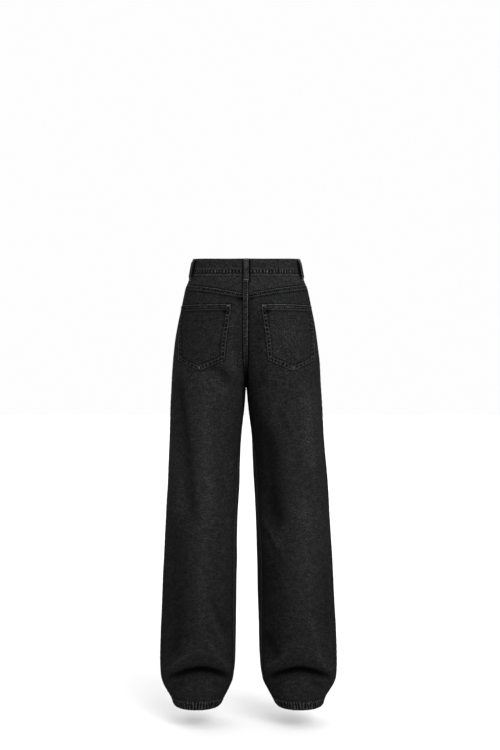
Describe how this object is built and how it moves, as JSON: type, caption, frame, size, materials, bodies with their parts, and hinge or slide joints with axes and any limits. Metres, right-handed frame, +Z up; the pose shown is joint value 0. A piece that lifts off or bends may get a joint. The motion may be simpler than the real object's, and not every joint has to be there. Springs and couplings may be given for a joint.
{
  "type": "wide leg jeans",
  "caption": "Wide straight-leg denim jeans in their worn, filled-out form: waistband with belt loops, V yoke, patch back pockets, scooped front pockets, buttoned fly and turned-up hems.",
  "frame": {"origin": "middle of the waist opening, half way up the waistband, where the wearer's waist holds the jeans", "axes": "+Z up along the wearer, the wearer faces -Y, +X is the wearer's left"},
  "size_m": [0.4573, 0.2573, 1.1525],
  "materials": {
    "denim": "washed black twill, matt",
    "denim_pocket": "washed black twill, matt, slightly worn edges",
    "denim_band": "washed black twill, matt, slightly worn edges",
    "button_metal": "dark, aged, satin"
  },
  "bodies": {
    "root": {"back_left": "denim", "back_right": "denim", "front_left": "denim", "front_right": "denim", "yoke_left": "denim", "yoke_right": "denim", "pocket_left": "denim_pocket", "pocket_right": "denim_pocket", "pocket_facing_left": "denim", "pocket_facing_right": "denim", "hem_left": "denim", "hem_right": "denim", "fly": "denim", "waistband": "denim_band", "belt_loop_back": "denim_band", "belt_loop_side_left": "denim_band", "belt_loop_side_right": "denim_band", "belt_loop_front_left": "denim_band", "belt_loop_front_right": "denim_band", "button": "button_metal"}
  },
  "joints": []
}
